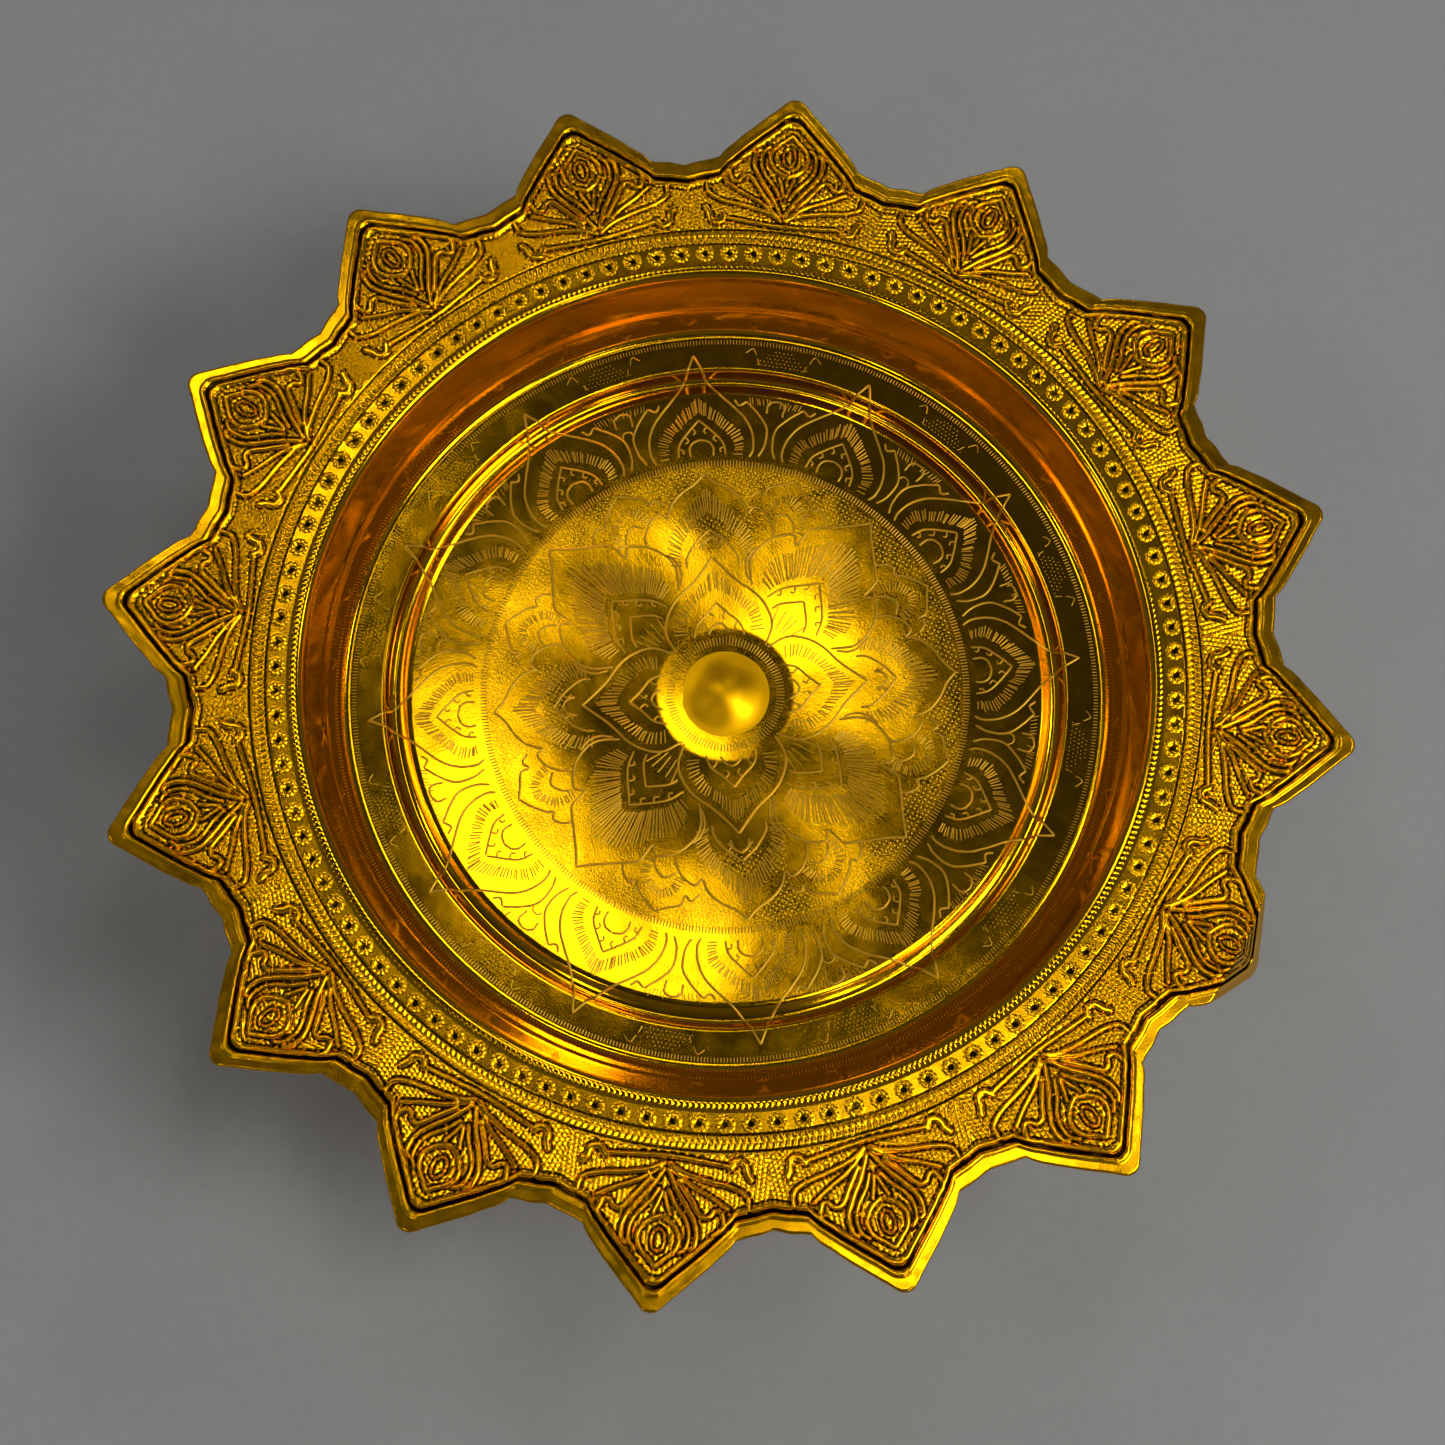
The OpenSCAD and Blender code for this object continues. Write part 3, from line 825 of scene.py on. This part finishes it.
# %% Lacquered gold sheet, stamped or chased
def gold_sheet(name, bright, shaded, rough_low, rough_high, groove_shade_strength):
    """A metal that is dull in patches, with painted shade in the deep lines of its relief, stronger where the
    smear noise is high.
    """
    m = new_material(name)
    place = add_node(m, "ShaderNodeTexCoord")
    # cloudy wear, about two centimetres across
    cloud = add_node(m, "ShaderNodeTexNoise", [("Vector", place, "Object")],
                     Scale=45.0, Detail=5.0, Roughness=0.6)
    # fine grain of the rolled sheet, about a third of a millimetre
    grain = add_node(m, "ShaderNodeTexNoise", [("Vector", place, "Object")],
                     Scale=2600.0, Detail=3.0, Roughness=0.6)
    # fingerprints and dulled patches, nearly a centimetre; the same noise also varies the painted shade in
    # the grooves
    smear = add_node(m, "ShaderNodeTexNoise", [("Vector", place, "Object")],
                     Scale=130.0, Detail=6.0, Roughness=0.65, Distortion=1.2)
    relief = add_node(m, "ShaderNodeAttribute", attribute_name="relief")
    sunk = add_node(m, "ShaderNodeMapRange", [("Value", relief, "Fac")])
    set_range(sunk, -0.14, 0.02, 1.0, 0.0)        # mm of relief: the deepest lines get the most painted shade
    # painted shade: the colour goes from bright towards shaded by groove depth times the smear noise
    painted_groove_shade = add_node(m, "ShaderNodeMath", [(0, sunk, "Result"), (1, smear, "Fac")], operation="MULTIPLY")
    painted_groove_shade = add_node(m, "ShaderNodeMath", [(0, painted_groove_shade, "Value")], operation="MULTIPLY")
    painted_groove_shade.inputs[1].default_value = groove_shade_strength
    colour = add_node(m, "ShaderNodeMix", [("Factor", painted_groove_shade, "Value")], data_type="RGBA")
    colour.inputs[6].default_value = linear(bright)
    colour.inputs[7].default_value = linear(shaded)
    rough = add_node(m, "ShaderNodeMapRange", [("Value", smear, "Fac")])
    set_range(rough, 0.35, 0.7, rough_low, rough_high)
    bump = add_node(m, "ShaderNodeBump", [("Height", grain, "Fac")], Strength=0.06, Distance=0.0001)
    bump2 = add_node(m, "ShaderNodeBump", [("Height", cloud, "Fac"), ("Normal", bump, "Normal")],
                     Strength=0.10, Distance=0.0003)
    shader = add_node(m, "ShaderNodeBsdfPrincipled",
                      [("Base Color", colour, 2), ("Roughness", rough, "Result"),
                       ("Normal", bump2, "Normal")], Metallic=1.0)
    add_node(m, "ShaderNodeOutputMaterial", [("Surface", shader, "BSDF")])
    return m


# floor, groove and wall: bright drawn sheet under clear gold lacquer
# painted shade: a little over the whole sheet in patches, and more in the dips between the mouth's beads
floor_gold = gold_sheet("gold_lacquered_sheet_chased", "#FFBB08", "#5A3400", 0.08, 0.14, 1.0)
# a struck line is matt beside the polished sheet: it looks dark where the sheet mirrors a lamp,
# and light where the sheet mirrors a dark room
line_gold = gold_sheet("gold_lacquered_chisel_strokes", "#DCA530", "#8A5A10", 0.34, 0.44, 0.3)
# rim: the die leaves the sheet less smooth, and its deep lines get strong painted shade, near black
rim_gold = gold_sheet("gold_lacquered_sheet_stamped", "#FFB808", "#1E0E00", 0.17, 0.27, 2.2)
# foot: spun sheet, lacquered, with few dull places
foot_gold = gold_sheet("gold_lacquered_spun_sheet", "#FFB808", "#6A3A00", 0.14, 0.24, 0.4)
# rivet: its head is rubbed soft by use
rivet_gold = gold_sheet("gold_lacquered_polished_head", "#FFBB08", "#6A3A00", 0.36, 0.44, 0.3)
# washer: bare rolled metal, so the same nodes with a grey instead of gold
plain = gold_sheet("rolled_aluminium", "#B9B8B4", "#807E78", 0.32, 0.45, 0.3)

for piece in dish_pieces:
    piece.data.materials.append(rim_gold if "rim" in piece.name else floor_gold)
for piece in chased:
    piece.data.materials.append(line_gold)
dish_pieces += chased
for piece in dish_pieces:
    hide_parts("dish")
for piece, material, node, slot in (
        (foot, foot_gold, "foot", "gold_lacquer_foot"),
        (rivet, rivet_gold, "rivet", "gold_rivet"),
        (washer, plain, "washer", "plain_washer")):
    piece.data.materials.append(material)
    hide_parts(node)
for piece in dish_pieces + [foot, rivet, washer]:
    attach(piece, "root")
print("materials:", [m.name for m in bpy.data.materials])

# %% [markdown]
# ## Floor, light and colour
# The tray stands on a plain pale floor. Polished metal shows what is round it, so each lamp is
# placed by what it is mirrored in. A soft panel overhead is mirrored in the lower left of the
# inner floor. Two panels further out are there for the rim: they lie outside nearly all that the
# outer floor mirrors, so it stays dark.
# A big lamp to the right throws the soft shadow, six small ones high round the tray give the wall
# and the petals their glints, and the room is dim, most of all straight overhead.

# %% Table, lamps and world
deselect()
bpy.ops.mesh.primitive_plane_add(size=6, location=(0, 0, 0))
table = bpy.context.object
table.name = "floor"
paper = new_material("pale_matt_floor")
place = add_node(paper, "ShaderNodeTexCoord")
speck = add_node(paper, "ShaderNodeTexNoise", [("Vector", place, "Object")], Scale=300.0, Detail=3.0)
tone = add_node(paper, "ShaderNodeMix", [("Factor", speck, "Fac")], data_type="RGBA")
tone.inputs[6].default_value = linear("#AFB0AE")
tone.inputs[7].default_value = linear("#B9BAB8")
skin = add_node(paper, "ShaderNodeBsdfPrincipled", [("Base Color", tone, 2)], Roughness=0.6)
add_node(paper, "ShaderNodeOutputMaterial", [("Surface", skin, "BSDF")])
table.data.materials.append(paper)


LAMP_HEIGHT = 1.3                             # metres above the rim
ceiling = [(20, 0.72), (75, 0.85), (130, 0.70), (185, 0.80), (235, 0.68), (300, 0.90)]    # degrees, aside


def lamp(name, toward, size, watts):
    """A soft lamp facing the dish. toward: how far aside per metre of height. size: in metres."""
    data = bpy.data.lights.new(name, "AREA")
    data.shape, data.size, data.size_y = "RECTANGLE", size[0], size[1]
    data.energy = watts
    o = bpy.data.objects.new(name, data)
    bpy.context.collection.objects.link(o)
    side = Matrix.Rotation(-turn, 3, "Z") @ Vector((toward[0], toward[1], 0))
    o.location = Vector((0, 0, TOP * MM)) + Vector((side[0], side[1], 1)) * LAMP_HEIGHT
    o.rotation_euler = (Vector((0, 0, TOP * MM)) - o.location).to_track_quat("-Z", "Y").to_euler()


lamp("panel_overhead", (-0.05, 0.20), (0.15, 0.13), 0.285)
lamp("panel_for_rim", (0.17, -0.035), (0.20, 0.10), 0.80)
lamp("panel_far_left", (-0.25, 0.43), (0.10, 0.14), 0.50)
lamp("lamp_right", (0.62, -0.28), (0.40, 0.40), 7)
for k, (around, away) in enumerate(ceiling):
    b = math.radians(around)
    lamp("ceiling_lamp_%d" % (k + 1), (away * math.cos(b), away * math.sin(b)), (0.12, 0.12), 0.7)
print("lamps:", len(bpy.data.lights))
world = bpy.data.worlds.new("dim_room")
bpy.context.scene.world = world
world.use_nodes = True
sky = world.node_tree.nodes
facing = sky.new("ShaderNodeTexCoord")
parts = sky.new("ShaderNodeSeparateXYZ")
walls = sky.new("ShaderNodeMapRange")
set_range(walls, 0.97, 0.60, 0.02, 0.085)     # darkest straight up
world.node_tree.links.new(facing.outputs["Generated"], parts.inputs["Vector"])
world.node_tree.links.new(parts.outputs["Z"], walls.inputs["Value"])
world.node_tree.links.new(walls.outputs["Result"], sky["Background"].inputs["Strength"])
sky["Background"].inputs["Color"].default_value = (0.95, 0.98, 1.0, 1)
bpy.context.scene.view_settings.view_transform = "Standard"
bpy.context.scene.view_settings.look = "None"
bpy.context.scene.view_settings.exposure = 0.0
